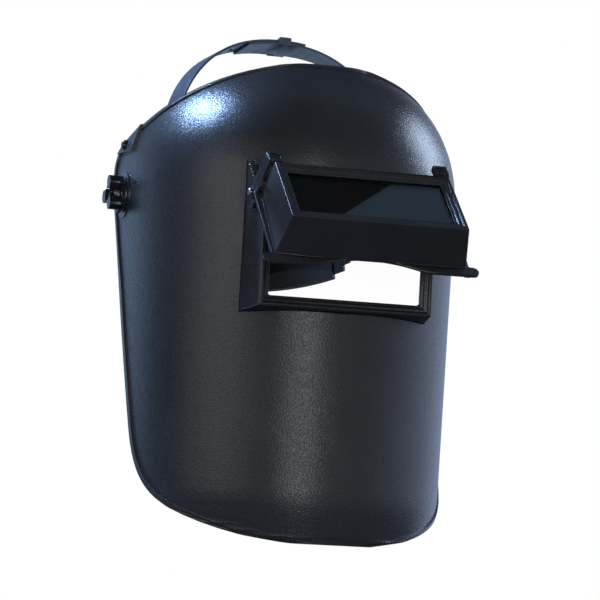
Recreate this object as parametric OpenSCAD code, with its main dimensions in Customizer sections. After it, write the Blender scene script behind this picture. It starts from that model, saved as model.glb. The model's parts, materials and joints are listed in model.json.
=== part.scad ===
/* [Shell] */
// Width of the shell across the tilt axis
shell_w = 224; // [220:1:230]
// Distance from the tilt axis to the front of the shell
front_reach = 150; // [148:1:154]
// Depth of the bowed front
bow_depth = 150; // [146:1:152]
// Squareness of the bowed front in plan
bow_power = 2.2; // [2.1:0.05:2.3]
// Height of the dome above the place where it starts
dome_h = 103; // [102:1:107]
// Depth of the shell below the tilt axis
skirt_h = 228; // [215:1:240]
// Wall thickness of the shell
wall = 2.6; // [2.2:0.1:2.8]
// How far the temples reach behind the tilt axis
temple_back = 32; // [30:1:36]
// Width of the bead that edges the shell
bead_w = 3.6; // [3:0.1:4.5]
// Height of the bead above the shell
bead_h = 1.3; // [0.8:0.1:1.8]

/* [Lenses] */
// Width of a lens plate
lens_w = 108; // [106:0.5:109]
// Height of a lens plate
lens_h = 51; // [50:0.5:52]
// Thickness of the fixed clear plate
clear_t = 2; // [1.5:0.1:2.4]
// Thickness of the dark filter plate
shade_t = 3; // [2.5:0.1:3.4]
// Thickness of the cover plate in front of the filter
cover_t = 1.2; // [1:0.1:1.5]

/* [Lens frame] */
// Width of the frame across its front edge
frame_w = 117.3; // [116:0.1:118]
// Height of the frame at its front edge
frame_h = 62.8; // [62:0.1:64]
// How far the front edge stands out from the shell
frame_out = 4.4; // [3.5:0.1:4.6]
// Slope of the frame's side walls
side_slope = 10.4; // [8:0.1:11]
// Slope of the frame's bottom wall
end_slope = 7; // [5:0.1:8]
// Slope of the frame's top wall
top_slope = 11; // [8:0.1:12]

/* [Lift front] */
// How far the lift front stands open
lift_angle = 50; // [40:1:60]
// Depth of the lift front, from its hinge to its face
lift_depth = 28; // [27:0.5:29]
// Height of the lift front's face
face_h = 57.3; // [56.5:0.1:59]
// Diameter of a hinge pin
hinge_pin_d = 4; // [3:0.5:5]

/* [Tilt pivots] */
// Diameter of a pivot bolt
bolt_d = 6; // [5:0.5:6.5]
// Diameter of a tension knob
knob_d = 26; // [25:1:29]
// Length of a tension knob
knob_l = 10; // [9.5:0.5:13]

/* [Headgear] */
// How far the headgear leans back
headgear_tilt = 20; // [17:1:23]
// Room between the head and each side of the shell
head_room = 34; // [33:0.5:36]
// Length of the head that the band is set for
head_l = 196; // [188:1:200]
// Height of the crown strap above the tilt axis
crown_h = 119; // [110:1:120]
// Width of the crown strap
crown_w = 24; // [21:1:26]

/* [Hidden] */
$fn = 48;

// Clearances: between seated pieces, beside moving pieces, round a turning pin and round a fixed pin
seat_gap = 0.2;
side_gap = 0.3;
pin_gap = 0.05;
fixed_gap = 0.02;
past = 1;

// Shell surface
bow_y = bow_depth - front_reach;
dome_z = -1.7;
dome_power_w = 2.2;
dome_power_d = 2.5;
side_draft = 0.75;
chin_z = 30 - skirt_h;
chin_angle = 12;
chin_blend = 6;
side_step = 2.3;
top_z = dome_z + dome_h - 14;
rim_top = [bow_y - half_d(top_z) + 3.4, top_z];
rim_low = [bow_y - half_d(-skirt_h) + 4, -skirt_h];
temple_z = 32;
temple_up = [temple_back - 11, temple_z + 7];
temple_down = [temple_back - 2, temple_z - 15];
jaw_up = [-36, 70 - skirt_h];
jaw_down = [-87, 18.5 - skirt_h];
rim_curves = [
  [rim_top, [rim_top[0] + 42, top_z - 23.5], temple_up],
  [temple_up, [temple_back + 6, temple_z], temple_down],
  [temple_down, [-5, -59.5], jaw_up],
  [jaw_up, [-46, 34 - skirt_h], jaw_down],
  [jaw_down, [-114, 8.5 - skirt_h], rim_low]
];
rim_rows = [8, 4, 11, 6, 5];
columns = 38;

// Lens window in the shell's front
frame_y = -front_reach - frame_out;
hinge_y = -front_reach - 3;
hinge_z = -5.5;
frame_mid_z = -46.2;
window_w = lens_w - 5.6;
window_h = lens_h - 2.8;
ridge_w = 2.6;
lip_front = frame_y + 3.4;
lip_back = lip_front + 2.5;
clear_y = lip_back + seat_gap;
flange_w = frame_w + 27;
flange_h = frame_h + 24;
flange_t = 3;
flange_gap = 0.5;
flange_y = wall + flange_gap - front_reach;
flange_drop = bow_in(flange_w / 2, frame_mid_z - flange_h / 2) + flange_gap - flange_y;
flange_r = (flange_w * flange_w / 4 + flange_drop * flange_drop) / (2 * flange_drop);
flange_mid_y = flange_y + flange_r;
inner_mid_y = 11 - front_reach + flange_r;
frame_back = bow_in(frame_w / 2 + 7, frame_mid_z) + flange_gap + 2 * flange_t + past;
flare_y = clear_y + clear_t + 3;
flare_w = frame_w + 2 * (frame_back - frame_y) * tan(side_slope) - 6;

// Hinge of the lift front
cheek_in = frame_w / 2 - 1;
cheek_out = cheek_in + 5.6;
cheek_top = 6.5;
cheek_y = hinge_y + 9;
ribs = 4;
rib_h = 2.6;
rib_step = 3.2;
lug_r = 4.4;
ear_in = cheek_out + 0.7;
ear_out = ear_in + 3.2;
ear_r = lug_r;
pin_r = hinge_pin_d / 2;
pin_head_r = pin_r + 0.6;

// Lift front, measured forward and down from the hinge
face_w = frame_w;
face_top = 4.7;
face_mid = face_top + face_h / 2 - 0.8;
back_slant = 4.4;
back_f = 1.8;
back_w = face_w + 10.6;
back_top = -2;
back_low = face_top + face_h + 2.4;
tail_f = back_f + 1 - back_low * tan(back_slant);
box_wall = 2.2;
lip_f = lift_depth - 3.6;
shelf_f = 16;
sight_w = lens_w - 5;
sight_h = lens_h - 9.8;
cover_f = lip_f - seat_gap;
gasket_f = cover_f - cover_t;
gasket_t = 1;
shade_f = gasket_f - gasket_t;
wire_r = 0.6;
wire_bend = 4;
shade_wire_f = shade_f - shade_t - wire_r - seat_gap;
lip_low = back_low + 6.2;
lip_t = 2.2;
lip_back_f = 0.4;
arm_t = 2.6;
arm_down = 6.2;
tab_f = lift_depth - 2.4;
arm_f = tab_f - 0.6;
tab_up = 9.9;
tab_low = 0.5;
tab_in = face_w / 2 - 7.3;
tab_out = face_w / 2 + 2.3;
tab_wall = 1.4;
tab_t = 4.8;
web_f0 = 5.5;
web_f1 = 11.5;
pull_r = 3.8;
pull_x = back_w / 2 + 4.1;
notch_w = 70;
notch_h = lip_low - back_low + 1.4;
notch_r = (notch_w * notch_w / 4 + notch_h * notch_h) / (2 * notch_h);

// Stack on each tilt pivot, outwards along X
bolt_r = bolt_d / 2;
boss_r = 16;
boss_out = shell_w / 2 + 0.4;
boss_in = shell_w / 2 - wall - 1.2;
washer_t = 0.8;
knob_in = boss_out + side_gap + washer_t + 0.1;
knob_out = knob_in + knob_l;
knob_flange = 3;
knob_lobes = 3;
knob_turn = 20;
lobe_r = 4.4;
knob_teeth = 20;
insert_r = bolt_r + 2;
pad_t = 1.5;
plate_out = boss_in - side_gap - pad_t;
plate_t = 2.8;
hub_in = plate_out - 9.6;
hub_r = 15;
bolt_head_r = 7.2;

// Tilt stop: a pin through a raised pad on the temple meets a lug on the side arm
stop_at = [temple_back - 16, temple_z + 3.5];
stop_r = 2.4;
stop_head_r = 3.6;
stop_head_t = 2.6;
stop_pad_h = 2;
stop_pad_l = 21;
stop_pad_low = 6;
stop_lean = atan2(half_w(stop_at[1] - 2) - half_w(stop_at[1] + 2), 4);
stop_seat = half_w(stop_at[1]) + stop_pad_h - stop_head_r * tan(stop_lean);
stop_reach = norm(stop_at);
stop_lug_w = 10;
stop_lug_t = 2.2;
stop_lug_l = stop_reach + 3.5;
stop_lug_angle = atan2(stop_at[1], stop_at[0]) + asin((stop_lug_w / 2 + stop_r + side_gap) / stop_reach);

// Headgear layers, outwards from the head
head_w = shell_w - 2 * head_room;
head_y = 6;
band_o = 8;
band_t = 2;
band_low = -10;
band_top = 20;
strap_t = 1.8;
strap_o = band_o + band_t + seat_gap;
strap_low = 1;
strap_top = 16;
crown_t = 1.6;
crown_o = band_o - seat_gap - crown_t;
crown_front = -20.5;
crown_base = 6;
crown_power = 2.3;
crown_flare = 0.3;
crown_rise = 3.5;
keeper_t = 1.2;
keeper_wall = 2.4;
arm_foot = 50;

// Ratchet at the nape
ratchet_z = (strap_low + strap_top) / 2;
ratchet_h = 34;
ratchet_reach = 26;
base_o = strap_o - seat_gap - 2.6;
cover_o = strap_o + 2 * strap_t + 3 * seat_gap;
cover_t2 = 2.5;
nape_y = head_y + head_l / 2;
pinion_r = 4.4;
pinion_teeth = 10;
spindle_r = 6;
ratchet_knob_y = nape_y + cover_o + cover_t2 + side_gap;
ratchet_knob_r = 19;
ratchet_knob_t = 12;
grip_ribs = 24;

// A point on a curve with one control point, and where along it a height is reached
function bend(p, t) = (1 - t) * (1 - t) * p[0] + 2 * t * (1 - t) * p[1] + t * t * p[2];
function bend_at(p, z) =
  let (a = p[0][1] - 2 * p[1][1] + p[2][1], b = 2 * (p[1][1] - p[0][1]), c = p[0][1] - z)
  2 * c / (-b + sqrt(max(0, b * b - 4 * a * c)));
function rim_y(z) =
  let (k = [for (i = [0:4]) if (z >= rim_curves[i][2][1] || i == 4) i][0])
  bend(rim_curves[k], bend_at(rim_curves[k], z))[0];

// Half width and half depth of the shell at a height
function dome(z, p) = let (t = max(0, z - dome_z) / dome_h) pow(1 - pow(min(t, 1), p), 1 / p);
function chin_in(z) = let (d = max(0, chin_z - z)) tan(chin_angle) * d * d / (d + chin_blend);
function half_w(z) = shell_w / 2 * dome(z, dome_power_w) + min(z, 0) * tan(side_draft) - chin_in(z);
function half_d(z) = bow_depth * dome(z, dome_power_d) - chin_in(z);

// Inside of the bowed front at a distance from the middle
function bow_in(x, z) =
  bow_y - (half_d(z) - wall) * pow(1 - pow(x / (half_w(z) - wall), bow_power), 1 / bow_power);

// A point on the shell: q is 0 at the front, 90 where the bow ends, then runs back along the side
function surf(z, q) =
  let (a = min(abs(q), 90), s = pow(sin(a), 2 / bow_power), c = pow(cos(a), 2 / bow_power))
  [sign(q) * half_w(z) * s, bow_y - half_d(z) * c + max(0, abs(q) - 90) * side_step, z];
function unit(v) = v / norm(v);
function outward(z, q) =
  unit(cross(surf(z, q + 0.5) - surf(z, q - 0.5), surf(z + 0.5, q) - surf(z - 0.5, q)));
function rim_q(z) =
  let (y = rim_y(z), k = (bow_y - y) / half_d(z))
  y < bow_y ? acos(pow(min(1, k), bow_power / 2)) : 90 + (y - bow_y) / side_step;
function rim_slant(z) =
  let (zc = max(2 - skirt_h, min(top_z - 2, z)), d = (rim_y(zc + 1) - rim_y(zc - 1)) / 2)
  sqrt(1 + d * d);

// Heights of the shell's rows of points, from the top edge down
bead_dz = bead_w * 0.33;
row_z = concat(
  [top_z, top_z - bead_dz, top_z - bead_dz - 0.4],
  [
    for (k = [0:4], i = [1:rim_rows[k]])
    let (z = bend(rim_curves[k], i / rim_rows[k])[1])
    if (z < top_z - bead_dz - 2 && z > bead_w + 2 - skirt_h) z
  ],
  [bead_w + 0.5 - skirt_h, bead_w - skirt_h, -skirt_h]
);
last_row = len(row_z) - 1;

// Where a column of points crosses a row, as a share of the way from the front to the rim
function bead_share(z) = min(0.3, bead_w * rim_slant(z) / side_step / rim_q(z));
function share(z, j) =
  let (b = bead_share(z), m = columns / 2, k = abs(j - m))
  sign(j - m) * (k == m ? 1 : k == m - 1 ? 1 - b : (k / (m - 2)) * (1 - b * 1.12));
function in_bead(i, j) = i < 2 || i > last_row - 2 || j < 2 || j > columns - 2;

// A sheet between two grids of points that have the same rows and columns
module thick_sheet(front, back) {
  rows = len(front) - 1;
  cols = len(front[0]) - 1;
  span = cols + 1;
  skip = (rows + 1) * span;
  points = concat([for (r = front, p = r) p], [for (r = back, p = r) p]);
  near = [
    for (i = [0:rows - 1], j = [0:cols - 1])
    let (a = i * span + j, b = a + 1, c = b + span, d = a + span)
    each [[a, b, c], [a, c, d]]
  ];
  far = [for (f = near) [f[0] + skip, f[2] + skip, f[1] + skip]];
  rim = concat(
    [for (j = [cols:-1:1]) j],
    [for (i = [0:rows - 1]) i * span],
    [for (j = [0:cols - 1]) rows * span + j],
    [for (i = [rows:-1:1]) i * span + cols]
  );
  edge = [
    for (k = [0:len(rim) - 1])
    let (a = rim[k], b = rim[(k + 1) % len(rim)])
    each [[a, b, b + skip], [a, b + skip, a + skip]]
  ];
  polyhedron(points, concat(near, far, edge));
}

// A round bar along X
module bar_x(x0, x1, r) {
  translate([x0, 0, 0]) rotate([0, 90, 0]) cylinder(h = x1 - x0, r = r);
}

// A block between two corners
module block(low, high) {
  translate(low) cube(high - low);
}

// The same on both sides
module both() {
  children();
  mirror([1, 0, 0]) children();
}

// A box with sloping walls between two upright rectangles: [y, half width, low z, high z]
module taper_box(a, b) {
  corners = [for (s = [a, b]) each [
    [-s[1], s[0], s[2]], [s[1], s[0], s[2]], [s[1], s[0], s[3]], [-s[1], s[0], s[3]]
  ]];
  polyhedron(corners, [[3, 2, 1, 0], [4, 5, 6, 7], [0, 1, 5, 4], [1, 2, 6, 5], [2, 3, 7, 6], [3, 0, 4, 7]]);
}

// A rectangular loop of wire in the XZ plane
module wire_loop(w, h) {
  x = w / 2 - wire_bend;
  z = h / 2 - wire_bend;
  for (s = [-1, 1]) {
    translate([-x, 0, s * h / 2]) bar_x(0, 2 * x, wire_r);
    translate([s * w / 2, 0, -z]) cylinder(h = 2 * z, r = wire_r);
  }
  for (c = [[x, z, 0], [-x, z, 90], [-x, -z, 180], [x, -z, 270]])
    translate([c[0], 0, c[1]]) rotate([90, 0, 0]) rotate([0, 0, c[2]])
      rotate_extrude(angle = 90) translate([wire_bend, 0]) circle(wire_r);
}

// Shell

module shell_skin() {
  front = [
    for (i = [0:last_row])
    let (z = row_z[i], q = rim_q(z))
    [for (j = [0:columns]) let (s = share(z, j) * q)
      surf(z, s) + (in_bead(i, j) ? bead_h : 0) * outward(z, s)]
  ];
  back = [
    for (i = [0:last_row])
    let (z = row_z[i], q = rim_q(z))
    [for (j = [0:columns]) let (s = share(z, j) * q) surf(z, s) - wall * outward(z, s)]
  ];
  thick_sheet(front, back);
}

// Side view of the temple, out to the rim
module temple_side() {
  rotate([90, 0, 90]) linear_extrude(shell_w)
    polygon(concat(
      [for (k = [0, 1], i = [0:8]) bend(rim_curves[k], i / 8)],
      [[-60, temple_down[1]], [-60, top_z]]
    ));
}

// Raised pad on one temple, flat and leaning with the dome
module stop_pad() {
  intersection() {
    translate([half_w(stop_at[1]), stop_at[0], stop_at[1]]) rotate([0, -stop_lean, 0])
      block([0.6 - wall, -stop_pad_l, -stop_pad_low], [stop_pad_h, stop_pad_l + 20, stop_pad_l]);
    temple_side();
  }
}

module shell() {
  color("#1b2130") difference() {
    union() {
      shell_skin();
      both() {
        bar_x(boss_in, boss_out, boss_r);
        stop_pad();
      }
    }
    frame_block(side_gap);
    both() {
      cheek_block(side_gap);
      bar_x(boss_in - past, boss_out + past, bolt_r + pin_gap);
      translate([0, stop_at[0], stop_at[1]]) {
        bar_x(hub_in, boss_out + past, stop_r + fixed_gap);
        bar_x(stop_seat, boss_out + past, stop_head_r + seat_gap);
      }
    }
  }
}

// Fixed lens frame

function frame_at(y, grow) = [
  y, frame_w / 2 + grow + (y - frame_y) * tan(side_slope),
  frame_mid_z - frame_h / 2 - grow - (y - frame_y) * tan(end_slope),
  frame_mid_z + frame_h / 2 + grow + (y - frame_y) * tan(top_slope)
];

module frame_block(grow) {
  taper_box(frame_at(frame_y, grow), frame_at(frame_back, grow));
}

// Hinge cheek on one side, with a ribbed ramp above it
module cheek_block(grow) {
  block(
    [cheek_in - grow, cheek_y - grow, frame_mid_z + frame_h / 2],
    [cheek_out + grow, frame_back, cheek_top + grow]
  );
  for (k = [0:ribs - 1])
    block(
      [cheek_in - grow, cheek_y + 4 + k * rib_step - grow, cheek_top - past],
      [cheek_out + grow, frame_back, cheek_top + (k + 1) * rib_h + grow]
    );
}

module frame_pocket(w, h, y0, y1) {
  block([-w / 2, y0, frame_mid_z - h / 2], [w / 2, y1, frame_mid_z + h / 2]);
}

// Outline of the opening that widens behind the clear lens
function flare_at(y, half) = [
  y, half,
  frame_mid_z - lens_h / 2 - seat_gap + past / 10,
  frame_mid_z + lens_h / 2 + seat_gap - past / 10
];

// Flange that follows the shell's inside
module frame_flange() {
  intersection() {
    frame_pocket(flange_w, flange_h, frame_y, flange_mid_y);
    translate([0, flange_mid_y, frame_mid_z - flange_h]) difference() {
      cylinder(h = 2 * flange_h, r = flange_r, $fn = 96);
      translate([0, 0, -past]) cylinder(h = 2 * flange_h + 2 * past, r = flange_r - flange_t, $fn = 96);
    }
  }
}

module frame_body() {
  difference() {
    union() {
      frame_block(0);
      both() {
        cheek_block(0);
        hull() {
          translate([0, hinge_y, hinge_z]) bar_x(cheek_in, cheek_out, lug_r);
          translate([0, cheek_y + lug_r, hinge_z - 2]) bar_x(cheek_in, cheek_out, lug_r + 2);
        }
      }
    }
    translate([0, inner_mid_y, -2 * frame_h]) cylinder(h = 4 * frame_h, r = flange_r, $fn = 96);
  }
}

module lens_frame() {
  color("#14161b") difference() {
    union() {
      frame_body();
      frame_flange();
    }
    frame_pocket(frame_w - 2 * ridge_w, frame_h - 2 * ridge_w, frame_y - past, lip_front - 1.6);
    frame_pocket(frame_w - 4 * ridge_w, frame_h - 4 * ridge_w, frame_y - past, lip_front);
    frame_pocket(window_w, window_h, frame_y - past, 0);
    frame_pocket(lens_w + 2 * seat_gap, lens_h + 2 * seat_gap, lip_back, 0);
    taper_box(flare_at(flare_y, lens_w / 2 + seat_gap), flare_at(frame_back, flare_w / 2));
    both() translate([0, hinge_y, hinge_z]) bar_x(cheek_in - past, cheek_out + past, pin_r + fixed_gap);
  }
}

module clear_lens() {
  color("#cfe4ea", 0.4) frame_pocket(lens_w, lens_h, clear_y, clear_y + clear_t);
}

module clear_lens_spring() {
  color("silver") translate([0, clear_y + clear_t + wire_r + seat_gap, frame_mid_z])
    wire_loop(lens_w - 2 * wire_r, lens_h - 2 * wire_r);
}

module hinge_pin() {
  color("silver") translate([0, hinge_y, hinge_z]) {
    bar_x(cheek_in - 1.5, ear_out + side_gap + 0.6, pin_r);
    translate([ear_out + side_gap, 0, 0]) rotate([0, 90, 0]) {
      cylinder(h = 0.8, r = pin_head_r);
      translate([0, 0, 0.8]) cylinder(h = 1, r1 = pin_head_r, r2 = pin_head_r - 1);
    }
  }
}

module hinge_pin_left() hinge_pin();
module hinge_pin_right() mirror([1, 0, 0]) hinge_pin();

// Stop pin through the shell, with a rounded head outside
module stop_pin() {
  color("#101114") translate([0, stop_at[0], stop_at[1]]) {
    bar_x(hub_in - 0.4, stop_seat + past, stop_r);
    translate([stop_seat, 0, 0]) rotate([0, 90, 0]) {
      cylinder(h = stop_head_t, r = stop_head_r);
      translate([0, 0, stop_head_t]) cylinder(h = 1.4, r1 = stop_head_r, r2 = stop_r);
    }
  }
}

module stop_pin_left() stop_pin();
module stop_pin_right() mirror([1, 0, 0]) stop_pin();

// Lift front, drawn closed and then turned up about its hinge

module lifted() {
  translate([0, hinge_y, hinge_z]) rotate([-lift_angle, 0, 0]) children();
}

function lift_at(f, inset) =
  let (t = (lift_depth - f) / (lift_depth - tail_f))
  [
    -f, face_w / 2 + t * (back_w - face_w) / 2 - inset,
    -(face_top + face_h + t * (back_low - face_top - face_h) - inset),
    -(face_top + t * (back_top - face_top) + inset)
  ];

module lift_pocket(w, h, f0, f1) {
  block([-w / 2, -f1, -face_mid - h / 2], [w / 2, -f0, -face_mid + h / 2]);
}

// The open back and its lip slope in towards the bottom
module slanted() {
  rotate([back_slant, 0, 0]) children();
}

// Half width of the lift front's box at a depth
function box_x(f) = lift_at(f, 0)[1];

// Outside of the hinge arm at a depth
function arm_x(f) = ear_out + f / arm_f * (tab_out - ear_out);

// Arm beside each end of the box, from the hinge eye to the tab, and the web that joins it to the box
module lift_arm() {
  intersection() {
    rotate([90, 0, 90]) linear_extrude(back_w) {
      circle(ear_r);
      polygon([
        [0, ear_r], [-arm_f, tab_up - 0.3], [-arm_f, tab_low + 0.3],
        [-ear_r, -arm_down], [0, -ear_r]
      ]);
    }
    linear_extrude(6 * ear_r, center = true)
      polygon([
        [ear_in, ear_r + past], [ear_out, ear_r + past], [ear_out, 0], [tab_out, -arm_f],
        [tab_out - arm_t, -arm_f], [ear_in, -1.5 * ear_r]
      ]);
  }
  translate([0, 0, 0.5 - arm_down]) linear_extrude(arm_down)
    polygon([
      [box_x(web_f0) - past, -web_f0], [arm_x(web_f0) - past, -web_f0],
      [arm_x(web_f1) - past, -web_f1], [box_x(web_f1) - past, -web_f1]
    ]);
}

// Hollow tab on each upper corner of the face
module lift_tab() {
  difference() {
    union() {
      block([tab_in, -tab_f, tab_low], [tab_out - 0.2, tab_t - tab_f, tab_up]);
      block([tab_in, 1.6 - tab_f, -face_top - 0.3], [tab_out - arm_t, tab_t - tab_f, tab_low + past]);
    }
    block(
      [tab_in + tab_wall, -tab_f - past, tab_low + 2.4],
      [tab_out - tab_wall, tab_t / 2 - tab_f, tab_up - tab_wall]
    );
  }
}

// Lip below the open back with a rounded pull tab at each lower corner, and a flange up each side
module lift_lip() {
  translate([0, -back_f, 0]) rotate([90, 0, 0]) linear_extrude(lip_t) {
    translate([-back_w / 2, -lip_low]) square([back_w, lip_low - back_low + box_wall]);
    for (s = [-1, 1]) {
      translate([s * pull_x, pull_r - lip_low]) circle(pull_r);
      translate([s * (pull_x - pull_r) - pull_r, -lip_low]) square(2 * pull_r);
    }
  }
  both() translate([0, lip_back_f - back_f, 0]) rotate([90, 0, 0]) linear_extrude(lip_t + lip_back_f)
    polygon([
      [back_w / 2 - box_wall, past - ear_r], [ear_out, past - ear_r],
      [back_w / 2 + 1.6, -lip_low], [back_w / 2 - box_wall, -lip_low]
    ]);
}

module lift_front() {
  color("#15171c") lifted() difference() {
    union() {
      difference() {
        taper_box(lift_at(lift_depth, 0), lift_at(tail_f, 0));
        taper_box(lift_at(shelf_f, box_wall), lift_at(tail_f - past, box_wall));
        lift_pocket(lens_w + 2 * seat_gap, lens_h + 2 * seat_gap, 0, lip_f);
        slanted() block([-back_w, -back_f - 1, -2 * back_low], [back_w, back_w, back_low]);
      }
      both() {
        lift_arm();
        lift_tab();
      }
      slanted() lift_lip();
    }
    lift_pocket(face_w - 5, face_h - 5, lift_depth - 1.4, lift_depth + past);
    lift_pocket(sight_w + 4, sight_h + 4, lift_depth - 2.4, lift_depth + past);
    lift_pocket(sight_w, sight_h, 0, lift_depth + past);
    slanted() translate([0, 0, notch_h - lip_low - notch_r]) rotate([90, 0, 0])
      cylinder(h = lift_depth - 12, r = notch_r, $fn = 96);
    both() {
      bar_x(cheek_out - past, ear_out + past, pin_r + pin_gap);
      bar_x(cheek_in - past, ear_in + 0.1, lug_r + past);
    }
  }
}

module cover_lens() {
  color("#20242a", 0.6) lifted() lift_pocket(lens_w, lens_h, cover_f - cover_t, cover_f);
}

module shade_gasket() {
  color("#2a2a2a") lifted() difference() {
    lift_pocket(lens_w, lens_h, gasket_f - gasket_t, gasket_f);
    lift_pocket(sight_w, sight_h, 0, lift_depth);
  }
}

module shade_lens() {
  color("#0a0f0d") lifted() lift_pocket(lens_w, lens_h, shade_f - shade_t, shade_f);
}

module shade_lens_spring() {
  color("silver") lifted() translate([0, -shade_wire_f, -face_mid])
    wire_loop(lens_w - 2 * wire_r, lens_h - 2 * wire_r);
}

// Tilt pivots

// Lobed tension knob with a knurled flange
module knob() {
  lobe_at = knob_d / 2 - lobe_r;
  color("#101115") difference() {
    union() {
      bar_x(knob_in, knob_in + knob_flange, knob_d / 2 - 1.2);
      bar_x(knob_in, knob_out - 3, insert_r + 2.4);
      for (k = [0:knob_lobes - 1]) rotate([knob_turn + k * 360 / knob_lobes, 0, 0]) {
        block([knob_in + 0.4, 0.2 - lobe_r, 0], [knob_out - 0.3, lobe_r - 0.2, lobe_at]);
        translate([0, 0, lobe_at]) bar_x(knob_in + 0.4, knob_out, lobe_r);
      }
      for (k = [0:knob_teeth - 1]) rotate([k * 360 / knob_teeth, 0, 0])
        translate([0, 0, knob_d / 2 - 1.4]) bar_x(knob_in + 0.5, knob_in + knob_flange - 0.6, 1);
    }
    bar_x(knob_in - past, knob_out + past, insert_r + fixed_gap);
  }
}

module knob_insert() {
  color("goldenrod") difference() {
    bar_x(knob_in, knob_out - 4, insert_r);
    bar_x(knob_in - past, knob_out, bolt_r + pin_gap);
  }
}

module knob_washer() {
  color("silver") difference() {
    bar_x(boss_out + side_gap, boss_out + side_gap + washer_t, knob_d / 2 - 1.5);
    bar_x(boss_out, knob_in, bolt_r + fixed_gap);
  }
}

module friction_washer() {
  color("#26221f") difference() {
    bar_x(plate_out, plate_out + pad_t, hub_r - 1);
    bar_x(plate_out - past, boss_in, bolt_r + fixed_gap);
  }
}

module pivot_bolt() {
  color("silver") {
    bar_x(plate_out - plate_t - past, knob_out - 2.5, bolt_r);
    translate([plate_out - plate_t, 0, 0]) rotate([0, -90, 0]) {
      cylinder(h = 1.4, r = bolt_head_r);
      translate([0, 0, 1.4]) cylinder(h = 1.8, r1 = bolt_head_r, r2 = bolt_head_r / 2);
    }
  }
}

module knob_left() knob();
module knob_right() mirror([1, 0, 0]) knob();
module knob_insert_left() knob_insert();
module knob_insert_right() mirror([1, 0, 0]) knob_insert();
module knob_washer_left() knob_washer();
module knob_washer_right() mirror([1, 0, 0]) knob_washer();
module friction_washer_left() friction_washer();
module friction_washer_right() mirror([1, 0, 0]) friction_washer();
module pivot_bolt_left() pivot_bolt();
module pivot_bolt_right() mirror([1, 0, 0]) pivot_bolt();

// Headgear, drawn level and then leaned back about the tilt axis

module leaned() {
  rotate([-headgear_tilt, 0, 0]) children();
}

// A point on the oval round the head: a is 0 at the forehead and 180 at the nape
function head_at(a, o, z) = [(head_w / 2 + o) * sin(a), head_y - (head_l / 2 + o) * cos(a), z];
function head_turn(a, o) = atan2(-(head_w / 2 + o) * cos(a), (head_l / 2 + o) * sin(a));
function head_side(y, o) = (head_w / 2 + o) * sqrt(1 - pow((y - head_y) / (head_l / 2 + o), 2));

// A band round part of the oval, which may step outwards towards the nape
function nape_step(a, rise) = let (t = max(0, min(1, (abs(a) - 115) / 35))) rise * t * t * (3 - 2 * t);
module head_band(a0, a1, o0, o1, z0, z1, steps, rise = 0) {
  turns = [for (k = [0:steps]) a0 + (a1 - a0) * k / steps];
  thick_sheet(
    [for (z = [z1, z0]) [for (a = turns) head_at(a, o1 + nape_step(a, rise), z)]],
    [for (z = [z1, z0]) [for (a = turns) head_at(a, o0 + nape_step(a, rise), z)]]
  );
}

// Place where the side arm's foot lies on the band
module arm_end() {
  translate(head_at(arm_foot, strap_o + 1.3, 0)) rotate([0, 0, head_turn(arm_foot, strap_o)]) children();
}

// Hub on the tilt axis, with the stop lug and an arm forward to the band
module side_arm() {
  color("#17191e") difference() {
    union() {
      bar_x(hub_in, plate_out, hub_r);
      rotate([stop_lug_angle, 0, 0])
        block([hub_in, 0, -stop_lug_w / 2], [hub_in + stop_lug_t, stop_lug_l, stop_lug_w / 2]);
      leaned() {
        arm_end() block([-1.2, -7, -9.5], [1.2, 7, -1]);
        hull() {
          block([hub_in + 0.5, 2 - hub_r, -10], [hub_in + 3.5, 6 - hub_r, 0.5]);
          arm_end() block([-1.1, 6.3, -9.3], [1.1, 6.8, -1.2]);
        }
      }
    }
    bar_x(hub_in - 20, plate_out - plate_t, bolt_head_r + past);
    bar_x(hub_in, plate_out + past, bolt_r + fixed_gap);
    leaned() rivet_holes([arm_foot]);
  }
}

module side_arm_left() side_arm();
module side_arm_right() mirror([1, 0, 0]) side_arm();

// Rivets through the bands: [angle round the head, height]
rivets = [[arm_foot, -5], [82, 12], [70, ratchet_z]];
rivet_r = 2;

module rivet_holes(angles) {
  for (v = rivets, a = angles) if (v[0] == a)
    translate(head_at(a, band_o, v[1])) rotate([0, 0, head_turn(a, band_o)])
      bar_x(-6, 24, rivet_r + fixed_gap);
}

module band_rivets() {
  lows = [0.1, crown_o - band_o - 0.4, -0.6];
  tops = [strap_o - band_o + 2.4, strap_o - band_o + strap_t, strap_o - band_o + strap_t];
  color("#16181c") leaned() both() for (k = [0:2])
    translate(head_at(rivets[k][0], band_o, rivets[k][1])) rotate([0, 0, head_turn(rivets[k][0], band_o)]) {
      bar_x(lows[k], tops[k] + 0.3, rivet_r);
      bar_x(tops[k] + 0.2, tops[k] + 1.4, 2 * rivet_r);
    }
}

module forehead_band() {
  color("#1d2027") leaned() difference() {
    head_band(-92, 92, band_o, band_o + band_t, band_low, band_top, 36);
    both() rivet_holes([arm_foot, 70, 82]);
  }
}

// Padded band across the forehead, crowned towards the head
module sweatband() {
  reach = 60;
  rows = 8;
  steps = 24;
  mid = (band_low + band_top) / 2;
  tall = (band_top - band_low) / 2 + 3;
  edge_t = 1.4;
  puff = 6.4;
  heights = [for (i = [0:rows]) 1 - 2 * i / rows];
  turns = [for (k = [0:steps]) 2 * k / steps - 1];
  color("#2b2d33") leaned() thick_sheet(
    [for (v = heights) [for (u = turns) head_at(reach * u, band_o - seat_gap, mid + v * tall)]],
    [
      for (v = heights)
      [
        for (u = turns)
        let (d = edge_t + puff * sqrt(1 - 0.94 * v * v) * sqrt(1 - pow(abs(u), 6)))
        head_at(reach * u, band_o - seat_gap - d, mid + v * tall)
      ]
    ]
  );
}

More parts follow.
